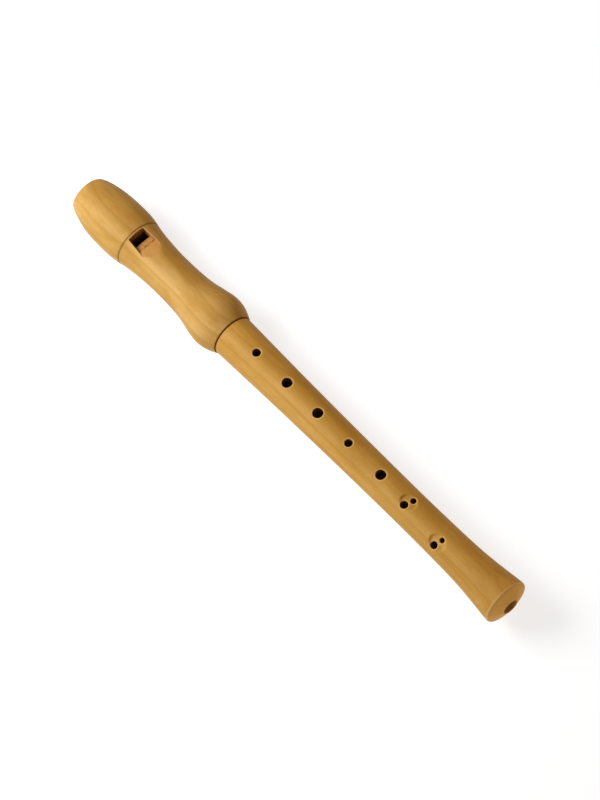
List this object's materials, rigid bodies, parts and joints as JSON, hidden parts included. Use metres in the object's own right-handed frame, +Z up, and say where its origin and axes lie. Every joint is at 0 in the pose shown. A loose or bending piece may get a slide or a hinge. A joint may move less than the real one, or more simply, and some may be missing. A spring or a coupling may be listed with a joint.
{
  "type": "soprano recorder",
  "caption": "Two-joint wooden soprano recorder: turned head with beak, window and ramp, removable block, corked tenon, and a tapering body with finger holes, two of them double.",
  "frame": {"origin": "on the surface that the recorder lies on, below the middle of its length and the axis of its bore", "axes": "+X along the bore from the beak to the foot, +Z up out of the window and the finger holes, +Y to the side away from the paired holes' offset"},
  "size_m": [0.325, 0.0306, 0.0307],
  "materials": {
    "pear_wood": "satin",
    "cedar": "matte",
    "cork": "matte"
  },
  "bodies": {
    "head": {"head_joint": "pear_wood"},
    "block": {"block": "cedar"},
    "cork": {"tenon_cork": "cork"},
    "body": {"body_joint": "pear_wood"}
  },
  "joints": [
    {"name": "joint_pull", "type": "slide", "parent": "head", "child": "cork", "axis": [1, 0, 0], "range_m": [0, 0.022]},
    {"name": "joint_twist", "type": "hinge", "parent": "cork", "child": "body", "pos_m": [0, 0, 0.01535], "axis": [1, 0, 0], "continuous": true},
    {"name": "block_removal", "type": "slide", "parent": "head", "child": "block", "axis": [-1, 0, 0], "range_m": [0, 0.045]}
  ]
}
